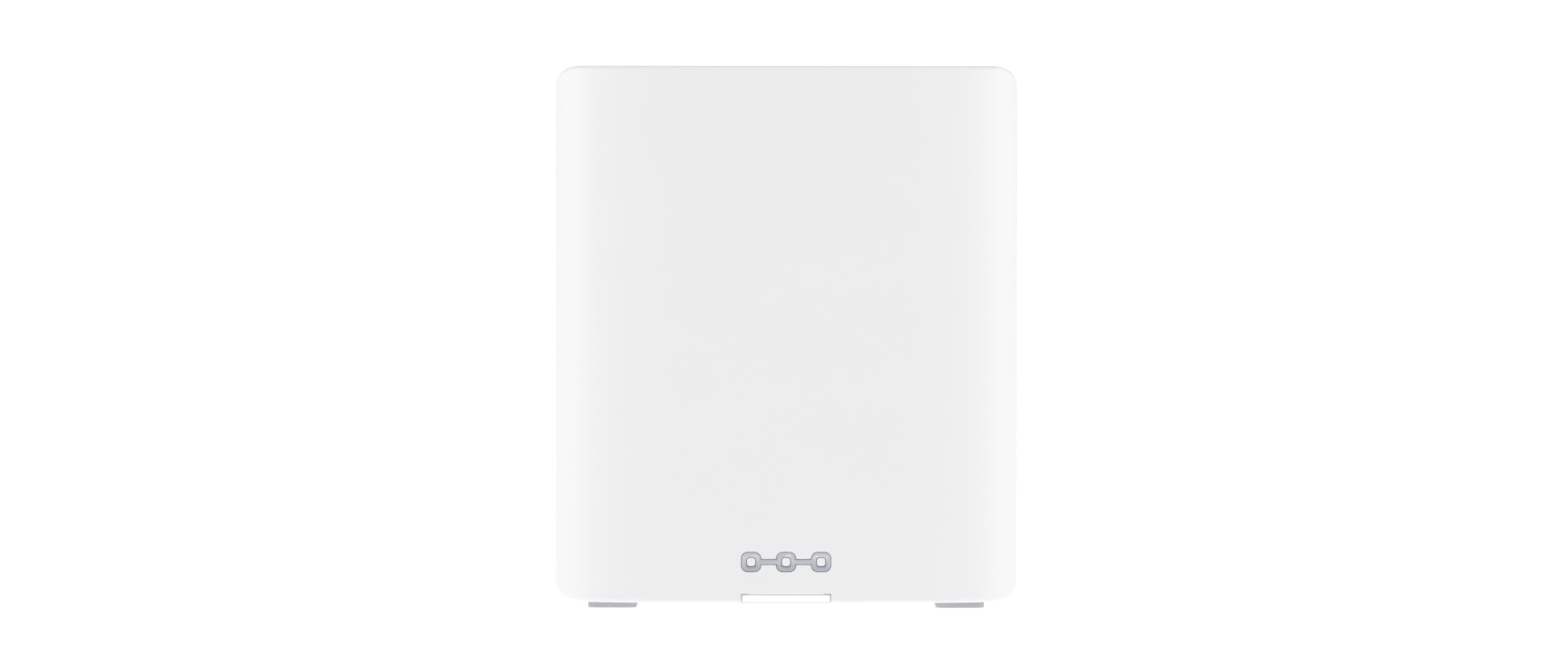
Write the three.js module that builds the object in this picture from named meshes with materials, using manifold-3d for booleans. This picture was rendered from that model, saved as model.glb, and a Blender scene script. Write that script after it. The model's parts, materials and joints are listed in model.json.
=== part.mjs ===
// An upright wireless router: a slab-shaped tower that stands on two rubber feet, as the separate
// pieces it is put together from.
// Millimetres, +Z up. The front faces -Y, and the origin is on the table under the middle.

import * as THREE from 'three';
import { mergeVertices, toCreasedNormals } from 'three/addons/utils/BufferGeometryUtils.js';
import Module from 'manifold-3d';

const wasm = await Module();
wasm.setup();

// Overall size
const overallWidth = 160;
const overallDepth = 75;
const overallHeight = 187;
const footStand = 2.2; // how far the feet hold the body off the table

// Body shell
const planPower = 4; // exponent of the superellipse that is the body's outline from above
const planSteps = 48;
const sideRound = 7.5; // round corners of the front view
const edgeRound = 1.2; // small round along the edges of the top and bottom
const edgeSteps = 2;
const wall = 2.4;
const gap = 0.3; // between pieces that meet
const past = 1; // how far a cut or a join runs past the face it meets
const crease = Math.PI / 6; // edges sharper than this are shown sharp
const seam = 12; // plane between the front and rear housings, behind the middle
const lipReach = 3; // how far the rear housing's lip reaches into the front housing
const lipWall = 1.2;
const curveSteps = 2;
const roundSides = 16;
const screwSides = 10;

// Vent slots
const slotHeight = 3;
const slotPitch = 8.5;
const slotColumns = 2;
const slotLength = 42;
const slotColumnGap = 9;
const ventMargin = 17; // plain strip above the bay and below the top edge
const ventCut = 4 * wall; // deep enough for the wall where it curves away at the slots' ends

// Base
const ledge = 1.6; // of the housings' floor, along the front and back, that the base plate rests on
const baseFloor = 2.2;
const baseRim = 2;
const flangeThickness = 2;
const foot = { width: 16.8, corner: 3, inset: 20, margin: 1, sunk: 0.8 };
const label = { width: 44, length: 28, corner: 2, thickness: 0.3 };
const baseSlot = { width: 3, length: 34, pitch: 7, margin: 4 };

// Front details
const lightWindow = { width: 30.5, height: 2.9, depth: 5.4 };
const riser = { width: 26, height: 10, thickness: 2.4 };
const emblem = {
  square: 6.4,
  corner: 2,
  stroke: 1.5,
  pitch: 12.05,
  height: 14.2, // of its middle above the body's bottom
  thickness: 0.7,
  sunk: 1,
};

// Port bay
const bay = { bottom: 11, height: 34, corner: 5, wall: 1.6, depth: 13.5, panel: 2, margin: 5.75 };
const portSpacing = 3.2;
const portRow = 12; // height of the sockets' middle above the bay's bottom
const buttonRow = 27.5; // height of the buttons' middle above the bay's bottom
const socketDepth = 18.1; // from the panel's face to the main board
const jack = {
  width: 16,
  height: 13.6,
  hole: 11.8,
  holeHeight: 7.8,
  holeDepth: 13,
  latch: 6.2,
  latchStep: 1.8,
};
const contact = { count: 8, pitch: 1.02, width: 0.5, height: 0.6, length: 7, bar: 1.2 };
const usb = {
  hole: 12.5,
  holeHeight: 5.1,
  wall: 0.5,
  tongue: 11,
  tongueHeight: 1.9,
  tongueLength: 9,
  block: 5.6,
};
const inlet = {
  outer: 9.4,
  block: 11,
  blockDepth: 12,
  hole: 6.4,
  holeDepth: 12.4,
  pin: 2.1,
  pinShort: 1.6, // how far the pin's end stays behind the panel's face
};
const rocker = {
  width: 8,
  height: 12,
  high: 2.2, // its two ends stand this far out of the panel
  low: 1.2,
  root: 3,
  taper: 1,
  tilt: 8,
  caseWall: 1.2,
  clearance: 0.8,
  depth: 13,
};
const setupButton = { cap: 7, proud: 1.2, flange: 9, flangeThickness: 1.5, stem: 3, travel: 0.8 };
const resetButton = { cap: 2.4, proud: -0.6, flange: 4, flangeThickness: 1.2, stem: 2, travel: 0.5 };
const tactSwitch = { side: 6, height: 3.6, plunger: 3, plungerReach: 1 };

// Electronics
const boardInset = 11; // from the body's side to the board's edge
const boardThickness = 1.6;
const boardBottom = 14;
const frameInset = 8;
const frameBottom = 12;
const frameTopRoom = 3.6; // under the inside of the top
const frameBar = 14;
const frameThickness = 7.7;
const boardTopRoom = 22; // from the frame's top to the board's
const armWidth = 3;
const armHeight = 2.4;
const sinkWidth = 90;
const sinkBase = 2;
const sinkFins = 10;
const finThickness = 1.2;
const frontFin = 14;
const rearFin = 15;
const sinkMargin = 4;
const padThickness = 0.8;
const chipThickness = 1.5;
const processorSide = 27;
const memorySide = 12;
const radioSide = 13;
const chipSpacing = 5;
const can = { side: 34, height: 2.2, wall: 0.6, pitch: 38 };
const ledBoard = { width: 36, depth: 9, thickness: 1.2 };
const led = { width: 3, depth: 2, height: 0.8, pitch: 8 };
const ribbon = { width: 5, thickness: 0.8 };
const antenna = { length: 46, width: 9, thickness: 0.8 };
const antennaLevel = 0.55; // share of the heatsinks' height where the side antennas' middle is
const leadDiameter = 1.6;
const leadSteps = 16;
const boardScrew = { head: 5.6, headHeight: 1.6, shank: 3, length: 6.4, inset: 4, room: 6 };
const baseScrew = { head: 5.6, headHeight: 1.4, shank: 3, length: 12, boss: 8.4 };

// Sizes and places that follow
const halfWidth = overallWidth / 2;
const halfDepth = overallDepth / 2;
const bodyBottom = footStand;
const baseInset = wall + ledge; // from the outline to the opening in the bottom
const insideBottom = bodyBottom + wall;
const insideTop = overallHeight - wall;
const panelFace = halfDepth - bay.depth;
const bayTop = bay.bottom + bay.height;
const rearFace = panelFace - socketDepth; // the main board's rear face
const rearMount = rearFace + gap;
const frontFace = rearFace - boardThickness;
const frontMount = frontFace - gap;
const frameTop = insideTop - frameTopRoom;
const boardTop = frameTop - boardTopRoom;
const boardHalf = halfWidth - boardInset;
const frameHalf = halfWidth - frameInset;
const sinkBottom = bayTop + ventMargin - sinkMargin;
const sinkHeight = boardTop - sinkMargin - sinkBottom;
const footSide = halfWidth - foot.inset;
const riserFront = -halfDepth + wall + gap;
const emblemZ = bodyBottom + emblem.height;

const finishes = {
  whiteShell: { color: 0xf1f1f0, roughness: 0.5, metalness: 0 },
  window: { color: 0xfdfdfd, roughness: 0.3, metalness: 0 },
  silver: { color: 0xa9a8b4, roughness: 0.28, metalness: 1 },
  rubber: { color: 0x9c9ca0, roughness: 0.8, metalness: 0 },
  paleLabel: { color: 0xe4e4e2, roughness: 0.6, metalness: 0 },
  greyPanel: { color: 0xd9dadb, roughness: 0.55, metalness: 0 },
  blackPlastic: { color: 0x1c1d1f, roughness: 0.5, metalness: 0 },
  bluePlastic: { color: 0x2f6fb5, roughness: 0.45, metalness: 0 },
  gold: { color: 0xd2a850, roughness: 0.3, metalness: 1 },
  steel: { color: 0xb8babd, roughness: 0.35, metalness: 1 },
  aluminium: { color: 0xc4c6c9, roughness: 0.4, metalness: 1 },
  board: { color: 0x1f5b3a, roughness: 0.5, metalness: 0 },
  chip: { color: 0x232427, roughness: 0.45, metalness: 0 },
  pad: { color: 0x9bb0c4, roughness: 0.9, metalness: 0 },
  innerPlastic: { color: 0x3a3c3f, roughness: 0.6, metalness: 0 },
  lens: { color: 0xf3f0d8, roughness: 0.2, metalness: 0 },
};

const router = new THREE.Group();

// Adds one piece to the router, or to a group in it.
function piece(name, geometry, finish, parent = router) {
  const mesh = new THREE.Mesh(geometry, new THREE.MeshStandardMaterial(finishes[finish]));
  mesh.name = name;
  parent.add(mesh);
  return mesh;
}

function groupAt(x, y, z) {
  const group = new THREE.Group();
  group.position.set(x, y, z);
  router.add(group);
  return group;
}

// A closed geometry as a solid that can be cut and joined.
function solid(geometry) {
  const bare = geometry.clone();
  bare.deleteAttribute('normal');
  bare.deleteAttribute('uv');
  const merged = mergeVertices(bare, 1e-4);
  const corners = merged.index.array;
  const triVerts = [];
  for (let i = 0; i < corners.length; i += 3) {
    const [a, b, c] = corners.slice(i, i + 3);
    if (a !== b && b !== c && c !== a) {
      triVerts.push(a, b, c);
    }
  }
  const mesh = new wasm.Mesh({
    numProp: 3,
    vertProperties: merged.attributes.position.array,
    triVerts: Uint32Array.from(triVerts),
  });
  return new wasm.Manifold(mesh);
}

// A solid's surface, with its sharp edges kept sharp.
function surface(body) {
  const mesh = body.getMesh();
  const geometry = new THREE.BufferGeometry();
  geometry.setAttribute('position', new THREE.BufferAttribute(mesh.vertProperties, 3));
  geometry.setIndex(new THREE.BufferAttribute(mesh.triVerts, 1));
  return toCreasedNormals(geometry, crease);
}

function block(low, high) {
  const size = high.map((value, axis) => value - low[axis]);
  const middle = high.map((value, axis) => (value + low[axis]) / 2);
  return solid(new THREE.BoxGeometry(...size).translate(...middle));
}

// A shape drawn in X and Y, standing from one height to another.
function alongZ(shape, low, high) {
  const options = { depth: high - low, bevelEnabled: false, curveSegments: curveSteps };
  return solid(new THREE.ExtrudeGeometry(shape, options).translate(0, 0, low));
}

// A shape drawn in X and Z, running from one depth to another.
function alongY(shape, near, far) {
  const options = { depth: far - near, bevelEnabled: false, curveSegments: curveSteps };
  return solid(new THREE.ExtrudeGeometry(shape, options).rotateX(Math.PI / 2).translate(0, far, 0));
}

// A round piece about the Y axis, from pairs of radius and depth.
function turned(profile, sides = roundSides) {
  const points = profile.map(([radius, y]) => new THREE.Vector2(radius, y));
  return solid(new THREE.LatheGeometry(points, sides));
}

function roundRect(width, height, corner, x = 0, y = 0) {
  const right = x + width / 2;
  const top = y + height / 2;
  const left = x - width / 2;
  const bottom = y - height / 2;
  const shape = new THREE.Shape();
  shape.absarc(right - corner, top - corner, corner, 0, Math.PI / 2);
  shape.absarc(left + corner, top - corner, corner, Math.PI / 2, Math.PI);
  shape.absarc(left + corner, bottom + corner, corner, Math.PI, Math.PI * 1.5);
  shape.absarc(right - corner, bottom + corner, corner, Math.PI * 1.5, Math.PI * 2);
  shape.closePath();
  return shape;
}

// A point of the superellipse outline at a given turn about the middle.
function planPoint(reachX, reachY, turn) {
  const c = Math.cos(turn);
  const s = Math.sin(turn);
  const x = reachX * Math.sign(c) * Math.abs(c) ** (2 / planPower);
  const y = reachY * Math.sign(s) * Math.abs(s) ** (2 / planPower);
  return new THREE.Vector2(x, y);
}

// How deep that outline is at a distance x from its middle.
function planDepth(reachX, reachY, x) {
  return reachY * (1 - (x / reachX) ** planPower) ** (1 / planPower);
}

function planShape(reachX, reachY) {
  const points = [];
  for (let i = 0; i < planSteps; i += 1) {
    points.push(planPoint(reachX, reachY, (i / planSteps) * Math.PI * 2));
  }
  return new THREE.Shape(points);
}

// The body's outline drawn up to a slab, and then cut to the front view's rounded rectangle, all
// at one distance inside the outer surface.
function slab(inset, edge) {
  const bottom = bodyBottom + inset;
  const top = overallHeight - inset;
  const options = {
    depth: top - bottom - 2 * edge,
    bevelEnabled: edge > 0,
    bevelThickness: edge,
    bevelSize: edge,
    bevelOffset: -edge,
    bevelSegments: edgeSteps,
  };
  const outline = planShape(halfWidth - inset, halfDepth - inset);
  const upright = solid(new THREE.ExtrudeGeometry(outline, options).translate(0, 0, bottom + edge));
  const face = roundRect(overallWidth - 2 * inset, top - bottom, sideRound - inset, 0, (top + bottom) / 2);
  return upright.intersect(alongY(face, -halfDepth - past, halfDepth + past));
}

// ---- Housings

const far = overallHeight * 2; // beyond every face of the router
const body = slab(0, edgeRound);
const cavity = slab(wall, 0);
const flangeBottom = insideBottom + gap;
const rimTop = flangeBottom + flangeThickness;
const baseOpening = alongZ(planShape(halfWidth - baseInset, halfDepth - baseInset), 0, rimTop + gap);
const shell = body.subtract(cavity).subtract(baseOpening);
const behindSeam = block([-far, seam + gap, -far], [far, far, far]);
const beforeSeam = block([-far, -far, -far], [far, seam, far]);

// Three rounded squares joined by two bars, grown all round for the pocket that holds them.
function emblemSolid(grow, near, deep) {
  const outer = emblem.square + 2 * grow;
  const inner = emblem.square - 2 * emblem.stroke - 2 * grow;
  let mark = block(
    [-emblem.pitch, near, emblemZ - emblem.stroke / 2 - grow],
    [emblem.pitch, deep, emblemZ + emblem.stroke / 2 + grow],
  );
  for (const side of [-1, 0, 1]) {
    const x = side * emblem.pitch;
    mark = mark.add(alongY(roundRect(outer, outer, emblem.corner + grow, x, emblemZ), near, deep));
  }
  for (const side of [-1, 0, 1]) {
    const x = side * emblem.pitch;
    const corner = emblem.corner / 2 - grow / 2;
    const hole = roundRect(inner, inner, corner, x, emblemZ);
    mark = mark.subtract(alongY(hole, near - past, deep + past));
  }
  return mark;
}

const windowTop = bodyBottom + lightWindow.height;
const windowBack = -halfDepth + lightWindow.depth;
const windowNotch = block(
  [-lightWindow.width / 2 - gap, -far, -far],
  [lightWindow.width / 2 + gap, windowBack + gap, windowTop + gap],
);
const emblemPocket = emblemSolid(gap, -far, -halfDepth + emblem.sunk);
const frontHousing = shell.intersect(beforeSeam).subtract(windowNotch).subtract(emblemPocket);
piece('front_housing', surface(frontHousing), 'whiteShell');

// The rear housing has a lip behind the seam, vent slots, and an opening for the port bay.
function lipRing(inset, near, deep) {
  const ring = slab(inset, 0).subtract(slab(wall + gap + lipWall, 0));
  return ring.intersect(block([-far, near, rimTop + 2 * gap], [far, deep, far]));
}

const lip = lipRing(wall + gap, seam - lipReach, seam + gap + lipReach)
  .add(lipRing(wall / 2, seam + 2 * gap, seam + gap + lipReach));

const caseWidth = rocker.width + 2 * (rocker.clearance + rocker.caseWall);
const caseHeight = rocker.height + 2 * (rocker.clearance + rocker.caseWall);
const sockets = [
  { name: 'inlet', width: inlet.block },
  { name: 'power', width: caseWidth },
  { name: 'wan_jack', width: jack.width },
  { name: 'lan_jack_1', width: jack.width },
  { name: 'lan_jack_2', width: jack.width },
  { name: 'usb', width: usb.hole + 2 * usb.wall },
];
const rowWidth = sockets.reduce((sum, socket) => sum + socket.width, portSpacing * (sockets.length - 1));
let reached = -rowWidth / 2;
for (const socket of sockets) {
  socket.x = reached + socket.width / 2;
  reached += socket.width + portSpacing;
}
const socketX = Object.fromEntries(sockets.map((socket) => [socket.name, socket.x]));
const portZ = bay.bottom + portRow;
const buttonZ = bay.bottom + buttonRow;
const bayWidth = rowWidth + 2 * bay.margin;
const bayMiddle = bay.bottom + bay.height / 2;

const bayHole = roundRect(bayWidth + 2 * gap, bay.height + 2 * gap, bay.corner + gap, 0, bayMiddle);
let rearHousing = shell.intersect(behindSeam).add(lip);
rearHousing = rearHousing.subtract(alongY(bayHole, panelFace - bay.panel - gap, far));
const ventBottom = bayTop + ventMargin;
const ventRows = Math.floor((overallHeight - ventMargin - ventBottom) / slotPitch) + 1;
for (let row = 0; row < ventRows; row += 1) {
  for (let column = 0; column < slotColumns; column += 1) {
    const x = (column - (slotColumns - 1) / 2) * (slotLength + slotColumnGap);
    const slot = roundRect(slotLength, slotHeight, slotHeight / 2, x, ventBottom + row * slotPitch);
    rearHousing = rearHousing.subtract(alongY(slot, halfDepth - ventCut, far));
  }
}
piece('rear_housing', surface(rearHousing), 'whiteShell');

// ---- Light window with the riser that feeds it

const window = body
  .intersect(block([-lightWindow.width / 2, -far, 0], [lightWindow.width / 2, windowBack, windowTop]))
  .add(block(
    [-riser.width / 2, riserFront, windowTop - past],
    [riser.width / 2, riserFront + riser.thickness, windowTop + riser.height],
  ));
piece('light_window', surface(window), 'window');

const emblemBack = -halfDepth + emblem.sunk - gap;
piece('emblem', surface(emblemSolid(0, emblemBack - emblem.thickness, emblemBack)), 'silver');

// ---- Base

const plugX = halfWidth - baseInset - gap;
const plugY = halfDepth - baseInset - gap;
const bossTop = frameBottom - gap;
const footPocketTop = bodyBottom + foot.sunk + gap;
// each foot is as long as its outer corners have room for inside the base plate's outline
const cornerCut = foot.corner * (1 - Math.SQRT1_2);
const cornerRoom = planDepth(plugX, plugY, footSide + foot.width / 2 - cornerCut) - foot.margin;
const footLength = 2 * (cornerRoom + cornerCut);
const screwHeadTop = footPocketTop + baseScrew.headHeight;

let base = alongZ(planShape(plugX, plugY), bodyBottom, rimTop)
  .intersect(slab(0, 0))
  .add(alongZ(planShape(plugX - ledge, halfDepth - wall - gap), flangeBottom, rimTop))
  .subtract(alongZ(planShape(plugX - baseRim, plugY - baseRim), bodyBottom + baseFloor, far))
  .subtract(windowNotch)
  .subtract(block(
    [-riser.width / 2 - gap, -far, windowTop - past],
    [riser.width / 2 + gap, riserFront + riser.thickness + gap, far],
  ));

function footOutline(grow, x) {
  return roundRect(foot.width + 2 * grow, footLength + 2 * grow, foot.corner + grow, x, 0);
}

// A round rod along Z.
function rod(radius, low, high, sides) {
  return turned([[0, low], [radius, low], [radius, high], [0, high]], sides).rotate([90, 0, 0]);
}

for (const side of [-1, 1]) {
  const x = side * footSide;
  base = base
    .add(rod(baseScrew.boss / 2, bodyBottom, bossTop, roundSides).translate([x, 0, 0]))
    .subtract(rod(baseScrew.head / 2 + gap, 0, screwHeadTop + gap, screwSides).translate([x, 0, 0]))
    .subtract(rod(baseScrew.shank / 2 + gap, 0, far, screwSides).translate([x, 0, 0]))
    .subtract(alongZ(footOutline(gap, x), 0, footPocketTop));
}
const labelPocket = roundRect(label.width + 2 * gap, label.length + 2 * gap, label.corner + gap);
base = base.subtract(alongZ(labelPocket, 0, bodyBottom + label.thickness + gap));
const slotsFrom = label.width / 2 + baseSlot.margin + baseSlot.width / 2;
const slotsTo = footSide - foot.width / 2 - baseSlot.margin - baseSlot.width / 2;
for (let x = slotsFrom; x <= slotsTo; x += baseSlot.pitch) {
  for (const side of [-1, 1]) {
    const slot = roundRect(baseSlot.width, baseSlot.length, baseSlot.width / 2, side * x, 0);
    base = base.subtract(alongZ(slot, 0, bodyBottom + baseFloor + past));
  }
}
piece('base_plate', surface(base), 'whiteShell');
const labelShape = roundRect(label.width, label.length, label.corner);
const labelSolid = alongZ(labelShape, bodyBottom, bodyBottom + label.thickness);
piece('rating_label', surface(labelSolid), 'paleLabel');

const footSolid = alongZ(footOutline(0, 0), 0, bodyBottom + foot.sunk);
for (const [name, side] of [['foot_left', -1], ['foot_right', 1]]) {
  piece(name, surface(footSolid), 'rubber').position.x = side * footSide;
}

// A round-headed screw whose head is at the origin and whose shank runs along +Y.
function screwSolid(screw) {
  const head = screw.head / 2;
  const shank = screw.shank / 2;
  const neck = screw.headHeight;
  const end = neck + screw.length;
  return turned([[0, 0], [head, 0], [head, neck], [shank, neck], [shank, end], [0, end]], screwSides);
}

for (const [name, side] of [['base_screw_left', -1], ['base_screw_right', 1]]) {
  const screw = piece(name, surface(screwSolid(baseScrew)), 'steel');
  screw.position.set(side * footSide, 0, footPocketTop);
  screw.rotation.x = Math.PI / 2;
}

// ---- Port bay: a tray with a cut-out for each socket and button

const panelBack = panelFace - bay.panel;
const trayOuter = roundRect(bayWidth, bay.height, bay.corner, 0, bayMiddle);
const trayInside = [bayWidth - 2 * bay.wall, bay.height - 2 * bay.wall];
const trayInner = roundRect(...trayInside, bay.corner - bay.wall, 0, bayMiddle);
let panel = alongY(trayOuter, panelBack, far)
  .subtract(alongY(trayInner, panelFace, far))
  .intersect(body);
const cutFrom = panelBack - past;
const cutTo = panelFace + past;

function cutRect(width, height, x, z) {
  panel = panel.subtract(alongY(roundRect(width, height, gap, x, z), cutFrom, cutTo));
}

function cutRound(radius, x, z) {
  const profile = [[0, cutFrom], [radius, cutFrom], [radius, cutTo], [0, cutTo]];
  panel = panel.subtract(turned(profile).translate([x, 0, z]));
}

cutRound(inlet.outer / 2 + gap, socketX.inlet, portZ);
cutRect(caseWidth + 2 * gap, caseHeight + 2 * gap, socketX.power, portZ);
for (const name of ['wan_jack', 'lan_jack_1', 'lan_jack_2']) {
  cutRect(jack.width + 2 * gap, jack.height + 2 * gap, socketX[name], portZ);
}
cutRect(usb.hole + 2 * (usb.wall + gap), usb.holeHeight + 2 * (usb.wall + gap), socketX.usb, portZ);
const buttons = [
  { name: 'setup', sizes: setupButton, x: socketX.usb },
  { name: 'reset', sizes: resetButton, x: socketX.lan_jack_2 },
];
for (const { sizes, x } of buttons) {
  cutRound(sizes.cap / 2 + gap, x, buttonZ);
}
piece('port_panel', surface(panel), 'greyPanel');

// Network jacks: the hole has a stepped notch below for the plug's latch, and a comb of contacts above.
const jackBack = rearMount - panelFace; // every socket's rear end, counted from the panel's face
const holeLow = -jack.holeHeight / 2 + jack.latchStep / 2;
const latchLow = holeLow - jack.latchStep;
const holeHigh = holeLow + jack.holeHeight;
const jackHole = block([-jack.hole / 2, -jack.holeDepth, holeLow], [jack.hole / 2, past, holeHigh])
  .add(block([-jack.latch / 2, -jack.holeDepth, latchLow], [jack.latch / 2, past, holeLow + past]));
const jackSolid = block([-jack.width / 2, jackBack, -jack.height / 2], [jack.width / 2, 0, jack.height / 2])
  .subtract(jackHole);
const combTop = holeHigh - gap;
const combBack = -jack.holeDepth + gap;
const combHalf = (contact.count * contact.pitch) / 2;
let combSolid = block(
  [-combHalf, combBack, combTop - contact.height * 2],
  [combHalf, combBack + contact.bar, combTop],
);
for (let i = 0; i < contact.count; i += 1) {
  const x = (i - (contact.count - 1) / 2) * contact.pitch;
  combSolid = combSolid.add(block(
    [x - contact.width / 2, combBack, combTop - contact.height * 2],
    [x + contact.width / 2, combBack + contact.bar + contact.length, combTop - contact.height],
  ));
}
for (const name of ['wan_jack', 'lan_jack_1', 'lan_jack_2']) {
  const place = groupAt(socketX[name], panelFace, portZ);
  piece(name, surface(jackSolid), 'blackPlastic', place);
  piece(name.replace('jack', 'contacts'), surface(combSolid), 'gold', place);
}

// USB socket: a thin metal tube round a tongue that stands on a block at the rear.
const usbHalfX = usb.hole / 2;
const usbHalfZ = usb.holeHeight / 2;
const usbOuterX = usbHalfX + usb.wall;
const usbOuterZ = usbHalfZ + usb.wall;
const usbShell = block([-usbOuterX, jackBack, -usbOuterZ], [usbOuterX, gap, usbOuterZ])
  .subtract(block([-usbHalfX, jackBack - past, -usbHalfZ], [usbHalfX, past, usbHalfZ]));
const usbBlock = [usbHalfX - gap, usbHalfZ - gap];
const tongueTop = usbBlock[1] - gap;
const usbBlockEnd = jackBack + usb.block;
const usbTongue = block([-usbBlock[0], jackBack, -usbBlock[1]], [usbBlock[0], usbBlockEnd, usbBlock[1]])
  .add(block(
    [-usb.tongue / 2, jackBack, tongueTop - usb.tongueHeight],
    [usb.tongue / 2, usbBlockEnd + usb.tongueLength, tongueTop],
  ));
const usbPlace = groupAt(socketX.usb, panelFace, portZ);
piece('usb_shell', surface(usbShell), 'steel', usbPlace);
piece('usb_tongue', surface(usbTongue), 'bluePlastic', usbPlace);

// Power inlet: a round socket on a square block, with its centre pin.
const bar = (radius, near, deep) => turned([[0, near], [radius, near], [radius, deep], [0, deep]]);
const inletHalf = inlet.block / 2;
const inletBlockEnd = jackBack + inlet.blockDepth;
const inletSolid = block([-inletHalf, jackBack, -inletHalf], [inletHalf, inletBlockEnd, inletHalf])
  .add(bar(inlet.outer / 2, inletBlockEnd - past, gap))
  .subtract(bar(inlet.hole / 2, -inlet.holeDepth, past))
  .subtract(bar(inlet.pin / 2 + gap, jackBack - past, past));
const pinSolid = bar(inlet.pin / 2, jackBack + gap, -inlet.pinShort);
const inletPlace = groupAt(socketX.inlet, panelFace, portZ);
piece('inlet_body', surface(inletSolid), 'blackPlastic', inletPlace);
piece('inlet_pin', surface(pinSolid), 'steel', inletPlace);

// Power switch: a rocker on a hinge across the case, resting on its lower, switched-on side.
const caseOuterX = caseWidth / 2;
const caseOuterZ = caseHeight / 2;
const caseInnerX = caseOuterX - rocker.caseWall;
const caseInnerZ = caseOuterZ - rocker.caseWall;
const caseFloor = -rocker.depth + rocker.caseWall;
const switchCase = block([-caseOuterX, -rocker.depth, -caseOuterZ], [caseOuterX, gap, caseOuterZ])
  .subtract(block([-caseInnerX, caseFloor, -caseInnerZ], [caseInnerX, past, caseInnerZ]));
const rockerEnd = rocker.height / 2;
const rockerProfile = new THREE.Shape([
  new THREE.Vector2(-rocker.root, -rockerEnd + rocker.taper),
  new THREE.Vector2(rocker.high, -rockerEnd),
  new THREE.Vector2(rocker.low, 0),
  new THREE.Vector2(rocker.high, rockerEnd),
  new THREE.Vector2(-rocker.root, rockerEnd - rocker.taper),
]);
const rockerSolid = new THREE.ExtrudeGeometry(rockerProfile, { depth: rocker.width, bevelEnabled: false })
  .translate(0, 0, -rocker.width / 2)
  .rotateY(-Math.PI / 2)
  .rotateX(-Math.PI / 2);
const powerPlace = groupAt(socketX.power, panelFace, portZ);
piece('power_switch_case', surface(switchCase), 'blackPlastic', powerPlace);
const rockerMesh = piece('power_rocker', surface(solid(rockerSolid)), 'blackPlastic', powerPlace);
rockerMesh.rotation.x = THREE.MathUtils.degToRad(-rocker.tilt);

// Push buttons: a cap in the panel, a flange behind it and a stem that reaches to a small switch on
// the board.
const switchTop = jackBack + tactSwitch.height + tactSwitch.plungerReach;
const tactHalf = tactSwitch.side / 2;
const plunger = tactSwitch.plunger / 2;
const tactSolid = block([-tactHalf, jackBack, -tactHalf], [tactHalf, jackBack + tactSwitch.height, tactHalf])
  .add(bar(plunger, jackBack + past, switchTop));
for (const { name, sizes, x } of buttons) {
  const flangeFront = -bay.panel - gap;
  const flangeBack = flangeFront - sizes.flangeThickness;
  const stemEnd = switchTop + gap + sizes.travel;
  const profile = [
    [0, stemEnd],
    [sizes.stem / 2, stemEnd],
    [sizes.stem / 2, flangeBack],
    [sizes.flange / 2, flangeBack],
    [sizes.flange / 2, flangeFront],
    [sizes.cap / 2, flangeFront],
    [sizes.cap / 2, sizes.proud],
    [0, sizes.proud],
  ];
  const place = groupAt(x, panelFace, buttonZ);
  piece(name + '_button', surface(turned(profile)), 'greyPanel', place);
  piece(name + '_switch', surface(tactSolid), 'blackPlastic', place);
}

// ---- Inner frame: a ring that the main board is screwed to, with two arms for the light board

const frameMiddle = (frameBottom + frameTop) / 2;
const frameBack = frontMount;
const frameFront = frameBack - frameThickness;
const ringOuter = roundRect(2 * frameHalf, frameTop - frameBottom, frameInset, 0, frameMiddle);
const ringInside = [2 * (frameHalf - frameBar), frameTop - frameBottom - 2 * frameBar];
const ringHole = roundRect(...ringInside, frameInset / 2, 0, frameMiddle);
const ledBoardTop = windowTop + riser.height + gap + led.height + gap + ledBoard.thickness;
const ledBoardBack = riserFront + ledBoard.depth;
const armHalf = ledBoard.width / 2;
let frame = alongY(ringOuter, frameFront, frameBack)
  .subtract(alongY(ringHole, frameFront - past, frameBack + past));
for (const side of [-1, 1]) {
  const outer = side * armHalf;
  const inner = side * (armHalf - armWidth);
  const screwEnd = screwHeadTop + baseScrew.length + past;
  const screwRoom = rod(baseScrew.shank / 2 + gap, frameBottom - past, screwEnd, screwSides);
  frame = frame
    .add(block(
      [Math.min(outer, inner), riserFront, ledBoardTop + gap],
      [Math.max(outer, inner), frameFront + past, ledBoardTop + gap + armHeight],
    ))
    .subtract(screwRoom.translate([side * footSide, 0, 0]));
}

const screwX = boardHalf - boardScrew.inset;
const screwPlaces = [];
for (const z of [boardBottom + boardScrew.room, boardTop - boardScrew.room]) {
  for (const side of [-1, 1]) {
    screwPlaces.push([side * screwX, z]);
  }
}
const boardMiddle = (boardBottom + boardTop) / 2;
const boardShape = roundRect(2 * boardHalf, boardTop - boardBottom, boardScrew.inset / 2, 0, boardMiddle);
let board = alongY(boardShape, frontFace, rearFace);
const threadRoom = boardScrew.shank / 2 + gap;
const threadEnd = rearMount - boardScrew.length - 2 * gap;
const threadHole = turned([[0, threadEnd], [threadRoom, threadEnd], [threadRoom, far], [0, far]], screwSides);
for (const [x, z] of screwPlaces) {
  const hole = threadHole.translate([x, 0, z]);
  frame = frame.subtract(hole);
  board = board.subtract(hole);
}
piece('inner_frame', surface(frame), 'innerPlastic');
piece('main_board', surface(board), 'board');
screwPlaces.forEach(([x, z], i) => {
  const screw = piece('board_screw_' + (i + 1), surface(screwSolid(boardScrew)), 'steel');
  screw.position.set(x, rearMount + boardScrew.headHeight, z);
  screw.rotation.x = Math.PI;
});

// ---- Chips, pads and heatsinks

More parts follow.
